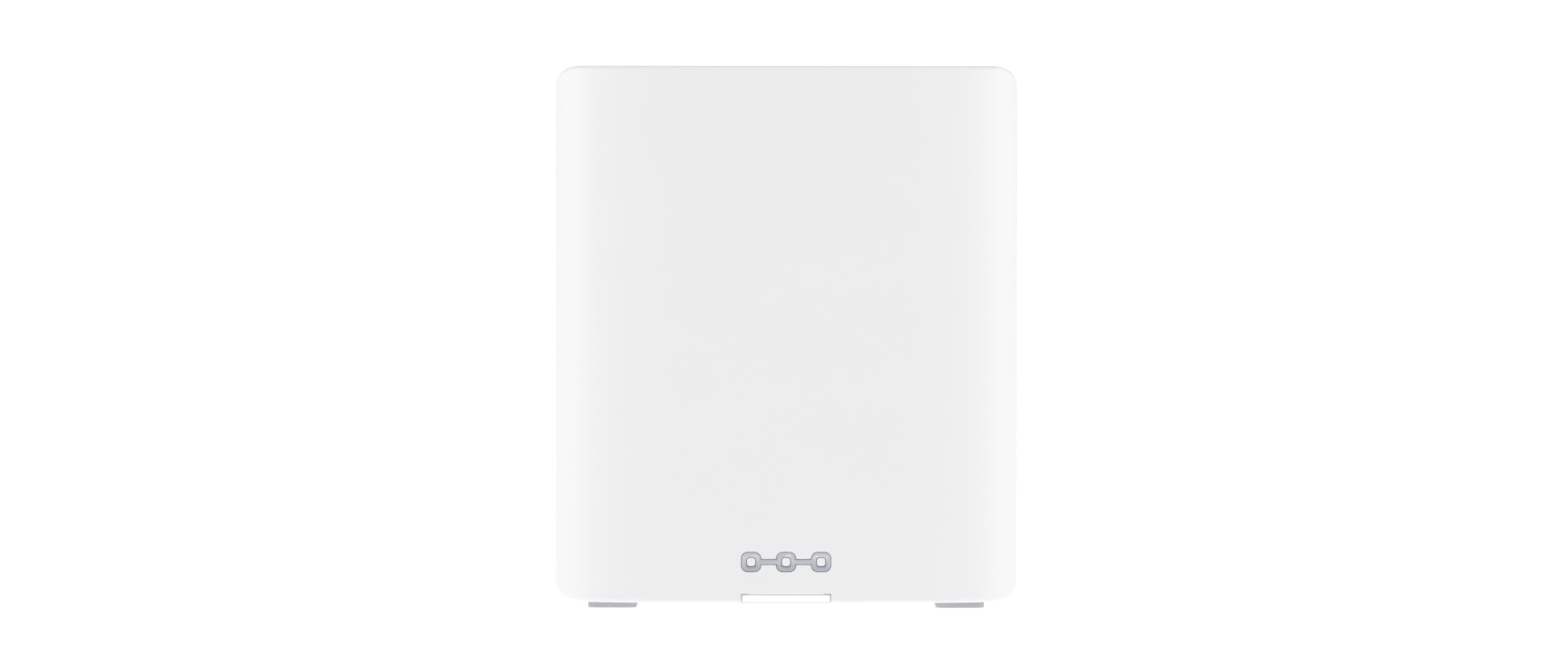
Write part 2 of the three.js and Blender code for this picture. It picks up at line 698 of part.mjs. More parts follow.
const chipFront = frontMount - chipThickness;
const processorZ = sinkBottom + sinkMargin + processorSide;
const memoryX = -(processorSide + memorySide) / 2 - chipSpacing;
const memoryStep = (memorySide + chipSpacing) / 2;
const radioZ = processorZ + (processorSide + radioSide) / 2 + chipSpacing;
const radioStep = radioSide + 2 * chipSpacing;
const chips = [
  { name: 'processor', side: processorSide, x: 0, z: processorZ },
  { name: 'memory_chip_1', side: memorySide, x: memoryX, z: processorZ - memoryStep },
  { name: 'memory_chip_2', side: memorySide, x: memoryX, z: processorZ + memoryStep },
  { name: 'radio_chip_1', side: radioSide, x: -radioStep, z: radioZ },
  { name: 'radio_chip_2', side: radioSide, x: 0, z: radioZ },
  { name: 'radio_chip_3', side: radioSide, x: radioStep, z: radioZ },
];
for (const { name, side, x, z } of chips) {
  const chip = block([-side / 2, 0, -side / 2], [side / 2, chipThickness, side / 2]);
  piece(name, surface(chip), 'chip').position.set(x, chipFront, z);
}

// A heatsink whose base lies on y = 0 and whose fins run up it and point along -Y.
function heatsink(fin) {
  const half = sinkWidth / 2;
  let sink = block([-half, -sinkBase, 0], [half, 0, sinkHeight]);
  for (let i = 0; i < sinkFins; i += 1) {
    const x = -half + (i / (sinkFins - 1)) * (sinkWidth - finThickness);
    sink = sink.add(block([x, -sinkBase - fin, 0], [x + finThickness, -sinkBase / 2, sinkHeight]));
  }
  return sink;
}

function padSolid(near) {
  const half = sinkWidth / 2 - sinkMargin;
  const low = sinkBottom + sinkMargin;
  return block([-half, near, low], [half, near + padThickness, sinkBottom + sinkHeight - sinkMargin]);
}

const frontPadBack = chipFront - gap;
piece('thermal_pad_front', surface(padSolid(frontPadBack - padThickness)), 'pad');
const frontSink = piece('heatsink_front', surface(heatsink(frontFin)), 'aluminium');
frontSink.position.set(0, frontPadBack - padThickness - gap, sinkBottom);

const canSide = can.side / 2;
const canHollow = canSide - can.wall;
const canSolid = block([-canSide, 0, -canSide], [canSide, can.height, canSide])
  .subtract(block([-canHollow, -past, -canHollow], [canHollow, can.height - can.wall, canHollow]));
for (const [i, side] of [-1, 0, 1].entries()) {
  const shieldCan = piece('shield_can_' + (i + 1), surface(canSolid), 'steel');
  shieldCan.position.set(side * can.pitch, rearMount, sinkBottom + sinkHeight / 2);
}
const rearPad = rearMount + can.height + gap;
piece('thermal_pad_rear', surface(padSolid(rearPad)), 'pad');
const rearSink = piece('heatsink_rear', surface(heatsink(rearFin)), 'aluminium');
rearSink.position.set(0, rearPad + padThickness + gap, sinkBottom + sinkHeight);
rearSink.rotation.x = Math.PI;

// ---- Light board over the riser, with its lamps and ribbon

const ledTop = ledBoardTop - ledBoard.thickness - gap;
piece('light_board', surface(block(
  [-ledBoard.width / 2, riserFront, ledBoardTop - ledBoard.thickness],
  [ledBoard.width / 2, ledBoardBack, ledBoardTop],
)), 'board');
for (const [i, side] of [-1, 0, 1].entries()) {
  const lamp = block([-led.width / 2, 0, -led.height], [led.width / 2, led.depth, 0]);
  piece('led_' + (i + 1), surface(lamp), 'lens').position.set(side * led.pitch, riserFront, ledTop);
}

// A strip or lead swept along hand-placed points.
function swept(section, points, steps) {
  const path = new THREE.CatmullRomCurve3(points.map((point) => new THREE.Vector3(...point)));
  const options = { extrudePath: path, steps, bevelEnabled: false, curveSegments: 1 };
  return new THREE.ExtrudeGeometry(section, options);
}

const ribbonSection = roundRect(ribbon.width, ribbon.thickness, ribbon.thickness / 8);
const ribbonFoot = ledBoardTop + gap + ribbon.thickness;
const overBar = frameBottom + frameBar + 2 * ribbon.width;
piece('light_ribbon', surface(solid(swept(ribbonSection, [
  [0, riserFront + ledBoard.depth / 2, ribbonFoot],
  [0, ledBoardBack, ribbonFoot],
  [0, ledBoardBack + ribbon.width, (ribbonFoot + overBar) / 2],
  [0, frameFront - ribbon.width, overBar],
  [0, frontMount - gap, overBar],
], leadSteps))), 'paleLabel');

// ---- Antennas on the front of the frame, each with a lead to the board

const antennaBack = frameFront - gap;
const antennaFront = antennaBack - antenna.thickness;
const leadY = antennaFront - gap - leadDiameter / 2;
const sideZ = sinkBottom + sinkHeight * antennaLevel;
const topZ = frameTop - frameBar / 2;
const sideX = frameHalf - frameBar / 2;
const topX = frameHalf / 2;
const aboveSink = boardTop - leadDiameter;
const belowSink = sinkBottom - 3 * leadDiameter;
const besideSink = frameHalf - frameBar - 2 * leadDiameter;
const antennas = [];
for (const side of [-1, 1]) {
  antennas.push({
    size: [antenna.length, antenna.width],
    at: [side * topX, topZ],
    route: [
      [side * topX, leadY, topZ],
      [side * topX, leadY, topZ - frameBar / 2],
      [side * topX, leadY, aboveSink + 4 * leadDiameter],
      [side * topX, (leadY + frontMount) / 2, aboveSink + leadDiameter / 2],
      [side * topX, frontMount - gap, aboveSink - leadDiameter / 2],
    ],
  });
  antennas.push({
    size: [antenna.width, antenna.length],
    at: [side * sideX, sideZ],
    route: [
      [side * sideX, leadY, sideZ],
      [side * sideX, leadY, sideZ - antenna.length / 2],
      [side * (besideSink + leadDiameter), leadY, (sideZ - antenna.length / 2 + belowSink) / 2],
      [side * besideSink, (leadY + frontMount) / 2, belowSink],
      [side * besideSink, frontMount - gap, belowSink - 2 * leadDiameter],
    ],
  });
}
const leadSection = roundRect(leadDiameter, leadDiameter, leadDiameter / 2);
antennas.forEach(({ size, at, route }, i) => {
  const number = i + 1;
  const plate = roundRect(size[0], size[1], antenna.thickness, at[0], at[1]);
  piece('antenna_' + number, surface(alongY(plate, antennaFront, antennaBack)), 'board');
  piece('antenna_lead_' + number, surface(solid(swept(leadSection, route, leadSteps))), 'blackPlastic');
});

export default router;
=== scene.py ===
import json
import math

import bmesh
import bpy
from mathutils import Matrix, Vector


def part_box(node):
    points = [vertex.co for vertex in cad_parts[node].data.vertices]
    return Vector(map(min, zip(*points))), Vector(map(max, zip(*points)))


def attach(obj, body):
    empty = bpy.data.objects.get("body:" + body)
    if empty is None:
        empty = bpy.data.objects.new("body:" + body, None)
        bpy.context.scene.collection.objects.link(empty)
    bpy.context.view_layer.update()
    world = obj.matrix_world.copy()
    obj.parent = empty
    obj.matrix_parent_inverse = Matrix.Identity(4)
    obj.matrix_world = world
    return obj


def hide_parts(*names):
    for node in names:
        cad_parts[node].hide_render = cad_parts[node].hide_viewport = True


# Upright wireless router: a white moulded slab with a light window, on two rubber feet.

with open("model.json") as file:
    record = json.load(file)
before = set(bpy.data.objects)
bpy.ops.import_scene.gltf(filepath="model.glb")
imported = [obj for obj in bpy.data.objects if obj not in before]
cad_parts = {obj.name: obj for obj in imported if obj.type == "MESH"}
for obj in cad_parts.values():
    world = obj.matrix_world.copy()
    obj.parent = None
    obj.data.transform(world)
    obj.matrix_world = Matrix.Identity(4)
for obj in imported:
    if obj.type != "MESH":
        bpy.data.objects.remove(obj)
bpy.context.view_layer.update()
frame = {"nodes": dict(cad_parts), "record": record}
nodes = frame["nodes"]
mm = 0.001
gap = 0.3 * mm  # between pieces that meet
weld = 0.001 * mm  # points closer than this are one
onFace = 0.01 * mm  # an edge this close to a face lies on it
far = 300 * mm  # past everything
print("frame loaded:", len(nodes), "nodes")


def newPiece(name, bm, material, body="housing", stands=()):
    mesh = bpy.data.meshes.new(name)
    bm.to_mesh(mesh)
    bm.free()
    mesh.materials.append(material)
    piece = bpy.data.objects.new(name, mesh)
    bpy.context.scene.collection.objects.link(piece)
    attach(piece, body)
    if stands:
        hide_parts(*stands)
    return piece


def shadeByAngle(piece, degrees=32):
    # edges sharper than this stay crisp, the rest is shaded smooth
    mesh = piece.data
    mesh.polygons.foreach_set("use_smooth", [True] * len(mesh.polygons))
    mesh.set_sharp_from_angle(angle=math.radians(degrees))


# Materials

def linear(hexCode):
    channels = [int(hexCode[i:i + 2], 16) / 255 for i in (1, 3, 5)]
    toned = [c / 12.92 if c <= 0.04045 else ((c + 0.055) / 1.055) ** 2.4 for c in channels]
    return (*toned, 1.0)


def addNode(material, kind, links=None, **settings):
    # links: socket name or number -> a value, or (node, output name) to join
    tree = material.node_tree
    node = tree.nodes.new(kind)
    for key, value in settings.items():
        setattr(node, key, value)
    for socket, source in (links or {}).items():
        if isinstance(source, tuple) and isinstance(source[0], bpy.types.Node):
            tree.links.new(source[0].outputs[source[1]], node.inputs[socket])
        else:
            node.inputs[socket].default_value = source
    return node


def newMaterial(name, shader):
    material = bpy.data.materials.new(name)
    material.use_nodes = True
    principled = material.node_tree.nodes["Principled BSDF"]
    for socket, value in shader.items():
        principled.inputs[socket].default_value = value
    return material, principled


def joinTo(material, principled, joins):
    for socket, (node, output) in joins.items():
        material.node_tree.links.new(node.outputs[output], principled.inputs[socket])


def grainedMaterial(
        name, dark, light, shader, grain, depth, roughness=(0.4, 0.5), stretch=(1, 1, 1), across=None):
    # a fine grain of real size in mm, in both the bump and the roughness, over a slow drift of colour;
    # across names a node from whose bottom to whose top the colour runs instead, which paints a reflection
    # ramp into the colour
    material, principled = newMaterial(name, shader)
    place = addNode(material, "ShaderNodeTexCoord")
    turned = addNode(material, "ShaderNodeMapping", {"Vector": (place, "Object"), "Scale": stretch})
    grains = addNode(material, "ShaderNodeTexNoise", {
        "Vector": (turned, "Vector"), "Scale": 1 / (grain * mm), "Detail": 3.0, "Roughness": 0.6})
    drift = addNode(material, "ShaderNodeTexNoise", {
        "Vector": (place, "Object"), "Scale": 1 / (35 * mm), "Detail": 2.0})
    both = addNode(material, "ShaderNodeMath", {
        0: (grains, "Fac"), 1: (drift, "Fac")}, operation="ADD")
    half = addNode(material, "ShaderNodeMath", {0: (both, "Value"), 1: 0.5}, operation="MULTIPLY")
    share = (half, "Value")
    if across:
        low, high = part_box(across[0])
        axes = addNode(material, "ShaderNodeSeparateXYZ", {0: (place, "Object")})
        height = addNode(material, "ShaderNodeMapRange", {
            "Value": (axes, "Z"), "From Min": low.z, "From Max": high.z})
        share = (addNode(material, "ShaderNodeMix", {
            "Factor": across[1], 2: (half, "Value"), 3: (height, "Result")}, data_type="FLOAT"), 0)
    colours = addNode(material, "ShaderNodeMix", {
        "Factor": share, 6: linear(dark), 7: linear(light)}, data_type="RGBA")
    gloss = addNode(material, "ShaderNodeMapRange", {
        "Value": (grains, "Fac"), "To Min": roughness[0], "To Max": roughness[1]})
    bump = addNode(material, "ShaderNodeBump", {
        "Height": (grains, "Fac"), "Distance": depth * mm, "Strength": 1.0})
    joinTo(material, principled, {
        "Base Color": (colours, 2), "Roughness": (gloss, "Result"), "Normal": (bump, "Normal")})
    return material


# white ABS from a spark-eroded mould: an even matte skin whose grain is only felt, drawn at twice its size
whiteAbs = grainedMaterial(
    "white ABS, moulded", "#E6E6E7", "#E9E9EA", {"IOR": 1.53}, 0.35, 0.004, (0.46, 0.56))
# polycarbonate light guide with a milky diffusing grade, lit from inside by the three lamps
lightGuide = grainedMaterial("milky polycarbonate, lit", "#F6F7F8", "#FBFCFD", {
    "IOR": 1.58, "Emission Color": (1, 1, 1, 1), "Emission Strength": 0.4}, 0.4, 0.002, (0.2, 0.3))
# satin silver plating on moulded ABS, with a painted reflection in its colour: paler along its top, darker
# with a cool tint towards the bottom
satinSilverPaintedReflection = grainedMaterial(
    "satin silver plating", "#9DA0AD", "#E0E2E3", {"Metallic": 1.0}, 0.25, 0.002, (0.3, 0.4),
    across=("emblem", 0.8))
# silicone rubber: dull, with a slight bloom
greyRubber = grainedMaterial(
    "silicone rubber, grey", "#AEAEB0", "#BEBEC0", {"IOR": 1.41}, 0.5, 0.012, (0.7, 0.85))
# ABS in pale grey, with a heavier mould grain than the housings
greyAbs = grainedMaterial(
    "grey ABS, moulded", "#BFC1C3", "#C9CBCD", {"IOR": 1.53}, 0.6, 0.012, (0.5, 0.62))
# glass-filled PBT: the fibres leave a fine dry mottle on black
blackPbt = grainedMaterial(
    "black PBT, glass filled", "#131415", "#1E1F21", {"IOR": 1.56}, 0.4, 0.008, (0.36, 0.5))
# the same moulding in the blue that tells one jack from the others, a little glossier
bluePbt = grainedMaterial(
    "blue PBT, moulded", "#2258A0", "#2F6FB5", {"IOR": 1.56}, 0.4, 0.006, (0.34, 0.44))
# recycled ABS of the inner frame: uneven grey-black, coarse
darkAbs = grainedMaterial(
    "dark recycled ABS", "#2B2D30", "#3A3C3F", {"IOR": 1.53}, 0.8, 0.02, (0.5, 0.62))
# moulded chip packages: near black, satin
chipEpoxy = grainedMaterial(
    "moulding epoxy", "#1B1C1E", "#26282B", {"IOR": 1.55}, 0.3, 0.006, (0.38, 0.5))
# silicone gap pad: soft, dry and blue-grey
gapPad = grainedMaterial(
    "silicone gap pad", "#8CA3B8", "#A3B7CA", {"IOR": 1.41}, 1.2, 0.03, (0.8, 0.95))
# rolled tinplate of the shield cans: long faint streaks along the strip
tinplate = grainedMaterial(
    "tinplate, rolled", "#A9ABAE", "#C2C4C7", {"Metallic": 1.0}, 0.5, 0.004, (0.24, 0.38), (1, 1, 0.06))
# nickel plating on steel: warm and bright
nickel = grainedMaterial(
    "nickel-plated steel", "#B4B2AC", "#C9C7C1", {"Metallic": 1.0}, 0.4, 0.003, (0.2, 0.32))
# hard gold over phosphor bronze, on the contacts
gold = grainedMaterial(
    "gold-plated bronze", "#C9A04A", "#DDB861", {"Metallic": 1.0}, 0.3, 0.002, (0.18, 0.28))
# extruded aluminium of the heatsinks, with its die lines
extruded = grainedMaterial(
    "extruded aluminium", "#A8AAAD", "#C9CBCE", {"Metallic": 1.0}, 0.6, 0.01, (0.34, 0.48), (1, 1, 0.03))
# PVC jacket of the antenna leads: black, a little waxy
pvcJacket = grainedMaterial(
    "PVC lead jacket", "#17181A", "#222326", {"IOR": 1.53}, 0.5, 0.004, (0.4, 0.5))
# blank polyester label: smooth, faintly grey
labelFilm = grainedMaterial(
    "polyester label film", "#DADAD8", "#E2E2E0", {"IOR": 1.57}, 0.8, 0.003, (0.4, 0.48))
# flat ribbon lead: its conductors show as ribs along it
ribbonFilm = grainedMaterial(
    "polyester ribbon", "#D6D4CC", "#E4E2DA", {"IOR": 1.57}, 0.9, 0.01, (0.34, 0.44), (1, 0.1, 1))
# green solder mask over copper: the copper under it shows as paler patches
solderMask = grainedMaterial(
    "green solder mask", "#15482D", "#226843", {"IOR": 1.5}, 2.2, 0.02, (0.25, 0.4))
# phosphor under the clear cap of each lamp
ledLens = grainedMaterial(
    "LED phosphor lens", "#EFE6B8", "#F6F0CE", {"IOR": 1.5}, 0.4, 0.004, (0.2, 0.3))
print("materials made")

slotMaterials = {
    "white_shell": whiteAbs, "light_window": lightGuide, "satin_silver": satinSilverPaintedReflection,
    "grey_rubber": greyRubber, "label": labelFilm, "grey_panel": greyAbs, "black_plastic": blackPbt,
    "blue_plastic": bluePbt, "gold": gold, "steel": nickel, "aluminium": extruded,
    "circuit_board": solderMask, "chip": chipEpoxy, "thermal_pad": gapPad, "inner_plastic": darkAbs,
    "led_lens": ledLens, "ribbon": ribbonFilm, "lead_jacket": pvcJacket,
}

# every CAD node that stays gets its material
slotOf = {}
for entry in frame["record"]["subparts"]:
    slotOf[entry["node"]] = entry["material_slot"]
for name, node in nodes.items():
    node.data.materials.clear()
    node.data.materials.append(tinplate if "shield_can" in name else slotMaterials[slotOf[name]])
print("CAD nodes finished")

# Housings: the superellipse outline drawn upright, cut to the front view's round-cornered rectangle

frontLow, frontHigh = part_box("front_housing")
body = {
    "halfWidth": frontHigh.x, "halfDepth": -frontLow.y, "bottom": frontLow.z, "top": frontHigh.z,
    "power": 4, "sideRound": 7.5 * mm, "edgeRound": 1.2 * mm, "wall": 2.4 * mm,
    "seam": frontHigh.y, "seamRound": 0.3 * mm, "columns": 256, "edgeSteps": 5, "cornerSteps": 12}


def planPoint(turn, inset):
    c = math.cos(turn)
    s = math.sin(turn)
    share = 2 / body["power"]
    x = (body["halfWidth"] - inset) * math.copysign(abs(c) ** share, c)
    y = (body["halfDepth"] - inset) * math.copysign(abs(s) ** share, s)
    return Vector((x, y, 0))


def planNormal(point, inset=0.0):
    k = body["power"] - 1
    reachX = body["halfWidth"] - inset
    reachY = body["halfDepth"] - inset
    nx = math.copysign(abs(point.x / reachX) ** k / reachX, point.x)
    ny = math.copysign(abs(point.y / reachY) ** k / reachY, point.y)
    return Vector((nx, ny, 0)).normalized()


def surfaceDepth(x):
    # how far the curved back or front is from the middle plane at a given x
    return body["halfDepth"] * (1 - abs(x / body["halfWidth"]) ** body["power"]) ** (1 / body["power"])


def capHeight(x, inset, sunk):
    # height above the body's middle of the front view's outline, sunk inside by a little more
    corner = body["sideRound"] - inset
    half = (body["top"] - body["bottom"]) / 2 - inset
    beyond = max(abs(x) - (body["halfWidth"] - inset - corner), 0)
    corner -= sunk
    return half - sunk - corner + math.sqrt(max(corner * corner - beyond * beyond, 0))


def skinPoint(turn, station, inset):
    # station 0 is the wall's middle, then the round edge, then the rings of the cap up to its centre
    edge = planPoint(turn, inset)
    outward = planNormal(edge, inset)
    beyond = max(abs(edge.x) - (body["halfWidth"] - body["sideRound"]), 0) / (body["sideRound"] - inset)
    facing = abs(outward.x) * min(beyond, 1)
    rounded = body["edgeRound"] * (1 - facing * facing) if inset == 0 else 0
    steps = body["edgeSteps"]
    if station == 0:
        return edge
    if station <= steps + 1:
        lean = (station - 1) / steps * math.pi / 2
        place = edge - outward * rounded * (1 - math.cos(lean))
        place.z = capHeight(edge.x if station == 1 else place.x, inset, rounded * (1 - math.sin(lean)))
        return place
    inner = edge - outward * rounded
    ring = station - steps - 1
    lean = math.pi / 2 * (1 - ring / body["cornerSteps"])
    corner = body["sideRound"] - inset
    reach = body["halfWidth"] - inset - corner + corner * math.sin(lean)
    share = reach / (body["halfWidth"] - inset) if ring <= body["cornerSteps"] else 0
    place = inner * share
    place.z = capHeight(place.x, inset, 0)
    return place


def addSkin(bm, inset, inward=False):
    stations = body["edgeSteps"] + body["cornerSteps"] + 2
    made = bmesh.ops.create_grid(bm, x_segments=body["columns"], y_segments=2 * stations, size=1)
    middle = (body["top"] + body["bottom"]) / 2
    for vert in made["verts"]:
        turn = (vert.co.x + 1) * math.pi
        level = round(vert.co.y * stations)
        place = skinPoint(turn, abs(level), inset)
        place.z = middle + math.copysign(place.z, level)
        vert.co = place
    faces = list({face for vert in made["verts"] for face in vert.link_faces})
    bmesh.ops.remove_doubles(bm, verts=made["verts"], dist=0.004 * mm)
    faces = [face for face in faces if face.is_valid]
    bmesh.ops.recalc_face_normals(bm, faces=faces)
    if inward:
        bmesh.ops.reverse_faces(bm, faces=faces)


def shellBand(outerInset, innerInset, near, deep, rounded=None):
    # the shell between two skins and two depths, closed where it is cut
    bm = bmesh.new()
    addSkin(bm, outerInset)
    addSkin(bm, innerInset, inward=True)
    for depth, side in ((near, -1), (deep, 1)):
        if depth is None:
            continue
        everything = bm.verts[:] + bm.edges[:] + bm.faces[:]
        bmesh.ops.bisect_plane(
            bm, geom=everything, dist=weld, plane_co=(0, depth, 0), plane_no=(0, side, 0), clear_outer=True)
        rim = [edge for edge in bm.edges if edge.is_boundary]
        bmesh.ops.bridge_loops(bm, edges=rim)
        if rounded is not None:
            outer = [
                edge for edge in rim
                if offSkin(edge, outerInset) < offSkin(edge, innerInset)]
            bmesh.ops.bevel(
                bm, geom=outer, offset=rounded, segments=2, profile=0.5, affect="EDGES", material=-1,
                clamp_overlap=True)
    return bm


def outlinePower(point, inset):
    # 1 on the upright wall, less inside it
    reachX = body["halfWidth"] - inset
    reachY = body["halfDepth"] - inset
    return abs(point.x / reachX) ** body["power"] + abs(point.y / reachY) ** body["power"]


def offSkin(edge, inset):
    # how far an edge's middle is from a skin, in the front view or the plan, whichever is nearer
    point = (edge.verts[0].co + edge.verts[1].co) / 2
    middle = (body["top"] + body["bottom"]) / 2
    cap = abs(abs(point.z - middle) - capHeight(point.x, inset, 0))
    return min(abs(outlinePower(point, inset) - 1) * body["sideRound"], cap)


def combine(piece, bm, operation):
    # cuts or joins a closed mesh, and leaves the result as plain mesh
    mesh = bpy.data.meshes.new("tool")
    bm.to_mesh(mesh)
    bm.free()
    tool = bpy.data.objects.new("tool", mesh)
    bpy.context.scene.collection.objects.link(tool)
    modifier = piece.modifiers.new("cut", "BOOLEAN")
    modifier.object = tool
    modifier.operation = operation
    modifier.solver = "MANIFOLD"
    bpy.context.view_layer.update()
    evaluated = piece.evaluated_get(bpy.context.evaluated_depsgraph_get())
    result = bpy.data.meshes.new_from_object(evaluated)
    piece.modifiers.remove(modifier)
    old = piece.data
    piece.data = result
    bpy.data.meshes.remove(old)
    bpy.data.objects.remove(tool)
    bpy.data.meshes.remove(mesh)


def trueNormals(piece):
    # the upright wall's faces take the outline's own normals, so a cut in them leaves no shading marks
    mesh = piece.data
    normals = []
    for polygon in mesh.polygons:
        for index in polygon.vertices:
            place = mesh.vertices[index].co
            outward = planNormal(place)
            plan = outlinePower(place, 0)
            onWall = abs(plan - 1) < 0.004 and polygon.normal.dot(outward) > 0.999
            normals.append(outward if onWall else Vector((0, 0, 0)))
    mesh.normals_split_custom_set(normals)


def roundedPlate(bm, width, height, corner, centre=(0, 0), steps=6):
    # a flat round-cornered face in X and Z at y = 0, which looks along -Y; a full corner makes round ends
    if corner > 0 and 2 * corner > min(width, height) - 0.01 * mm:
        made = bmesh.ops.create_circle(bm, segments=4 * steps, radius=height / 2, cap_ends=True)
        face = made["verts"][0].link_faces[0]
        if face.normal.z < 0:
            face.normal_flip()
        half = Matrix.Rotation(math.pi / 4 / steps, 3, "Z")
        bmesh.ops.rotate(bm, verts=made["verts"], matrix=half)
        for vert in made["verts"]:
            vert.co.x += math.copysign((width - height) / 2, vert.co.x)
    else:
        made = bmesh.ops.create_grid(bm, x_segments=1, y_segments=1, size=0.5)
        face = made["verts"][0].link_faces[0]
        bmesh.ops.scale(bm, verts=made["verts"], vec=(width, height, 1))
        if corner > 0:
            shaped = bmesh.ops.bevel(
                bm, geom=made["verts"], offset=corner, segments=steps, profile=0.5, affect="VERTICES",
                material=-1)
            face = shaped["verts"][0].link_faces[0]
    verts = list(face.verts)
    bmesh.ops.rotate(bm, verts=verts, matrix=Matrix.Rotation(math.pi / 2, 3, "X"))
    bmesh.ops.translate(bm, verts=verts, vec=(centre[0], 0, centre[1]))
    return face


def stepped(bm, face, levels):
    # draws a face on in steps of inset and depth along its normal, then closes the end it started from
    for inset, depth in levels:
        bmesh.ops.inset_individual(bm, faces=[face], thickness=inset, depth=depth, use_even_offset=True)
    rim = [edge for edge in bm.edges if edge.is_boundary]
    bmesh.ops.edgeloop_fill(bm, edges=rim)
    bmesh.ops.recalc_face_normals(bm, faces=bm.faces)


def flaredCutter(width, height, corner, centre, end, flare, surface=surfaceDepth, steps=6):
    # a cutter for a face that looks back, whose mouth opens in small steps and leaves the cut a soft edge
    bm = bmesh.new()
    grow = 1.5 * flare
    face = roundedPlate(bm, width + 2 * grow, height + 2 * grow, corner + grow, centre, steps)
    for edge in list(face.edges):
        cuts = int(edge.calc_length() / (3 * mm))
        if cuts:
            bmesh.ops.subdivide_edges(bm, edges=[edge], cuts=cuts)
    bmesh.ops.translate(bm, verts=face.verts, vec=(0, 2 * flare, 0))
    stepped(bm, face, ((0, flare), (1.2 * flare, 1.3 * flare), (0.3 * flare, 0.7 * flare), (0, flare)))
    for vert in bm.verts:
        if vert.co.y > 1.5 * flare:
            vert.co.y = body["halfDepth"] + 2 * mm
        elif vert.co.y < -1.5 * flare:
            vert.co.y = end
        else:
            vert.co.y += surface(vert.co.x)
    return bm


def prism(width, height, corner, near, deep, centre=(0, 0), steps=6):
    # a round-cornered bar along Y
    bm = bmesh.new()
    face = roundedPlate(bm, width, height, corner, centre, steps)
    bmesh.ops.translate(bm, verts=face.verts, vec=(0, deep, 0))
    stepped(bm, face, ((0, deep - near),))
    return bm


def spun(profile, place, steps=48):
    # a round piece about Y from pairs of radius and depth; the profile closes on itself or on the axis
    bm = bmesh.new()
    verts = [bm.verts.new((radius, depth, 0)) for radius, depth in profile]
    edges = [bm.edges.new(pair) for pair in zip(verts, verts[1:])]
    if profile[0][0] > 0:
        edges.append(bm.edges.new((verts[-1], verts[0])))
    bmesh.ops.spin(
        bm, geom=verts + edges, cent=(0, 0, 0), axis=(0, 1, 0), angle=2 * math.pi, steps=steps,
        use_merge=True)
    bmesh.ops.remove_doubles(bm, verts=bm.verts, dist=weld)
    bmesh.ops.recalc_face_normals(bm, faces=bm.faces)
    bmesh.ops.translate(bm, verts=bm.verts, vec=place)
    return bm


def softened(bm, width, segments=2, sharper=30):
    # rounds every edge that is sharper than an angle
    limit = math.radians(sharper)
    edges = [edge for edge in bm.edges if edge.is_manifold and edge.calc_face_angle(0) > limit]
    bmesh.ops.bevel(
        bm, geom=edges, offset=width, segments=segments, profile=0.5, affect="EDGES", material=-1,
        clamp_overlap=True)
    return bm


def refined(name, node, width, body="housing"):
    # a CAD piece with its flat faces joined up again and its edges rounded
    bm = bmesh.new()
    bm.from_mesh(nodes[node].data)
    bmesh.ops.remove_doubles(bm, verts=bm.verts, dist=0.002 * mm)
    bmesh.ops.dissolve_limit(bm, angle_limit=math.radians(1), verts=bm.verts, edges=bm.edges)
    softened(bm, width)
    slotName = slotOf[node]
    piece = newPiece(name, bm, slotMaterials[slotName], body, (node,))
    shadeByAngle(piece)
    return piece


def boxTool(low, high):
    bm = bmesh.new()
    made = bmesh.ops.create_cube(bm, size=1)
    bmesh.ops.scale(bm, verts=made["verts"], vec=[b - a for a, b in zip(low, high)])
    bmesh.ops.translate(bm, verts=made["verts"], vec=[(a + b) / 2 for a, b in zip(low, high)])
    return bm


base = {"inset": 4 * mm, "openingTop": 7.4 * mm}


def planTool(inset, low, high):
    # an upright prism with the body's outline, some way inside it
    bm = bmesh.new()
    made = bmesh.ops.create_circle(bm, segments=body["columns"], radius=1, cap_ends=True)
    for index, vert in enumerate(made["verts"]):
        vert.co = planPoint(2 * math.pi * index / body["columns"], inset)
        vert.co.z = low
    face = made["verts"][0].link_faces[0]
    if face.normal.z > 0:
        face.normal_flip()
    drawn = bmesh.ops.extrude_face_region(bm, geom=[face], use_keep_orig=True)
    top = [item for item in drawn["geom"] if isinstance(item, bmesh.types.BMVert)]
    bmesh.ops.translate(bm, verts=top, vec=(0, 0, high - low))
    bmesh.ops.recalc_face_normals(bm, faces=bm.faces)
    return bm


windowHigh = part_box("light_window")[1]
lightWindow = {
    "halfWidth": 15.25 * mm, "top": body["bottom"] + 2.9 * mm, "depth": 5.4 * mm, "rim": 0.3 * mm,
    "rimDepth": 1.6 * mm, "edge": 0.1 * mm, "play": 0.02 * mm, "sunk": 0.08 * mm, "riserHalf": 13 * mm,
    "riserThickness": 2.4 * mm}

frontHousing = newPiece(
    "frontHousing", shellBand(0, body["wall"], None, body["seam"], body["seamRound"]), whiteAbs,
    stands=("front_housing",))
combine(frontHousing, planTool(base["inset"], -far, base["openingTop"]), "DIFFERENCE")
combine(frontHousing, boxTool(
    (-lightWindow["halfWidth"] - gap, -far, -far),
    (lightWindow["halfWidth"] + gap, frontLow.y + lightWindow["depth"] + gap, lightWindow["top"] + gap)),
    "DIFFERENCE")

vents = {
    "height": 3 * mm, "pitch": 8.5 * mm, "length": 42 * mm, "columnGap": 9 * mm, "columns": 2,
    "margin": 17 * mm, "flare": 0.45 * mm, "deep": 8 * mm}
trayLow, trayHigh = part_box("port_panel")

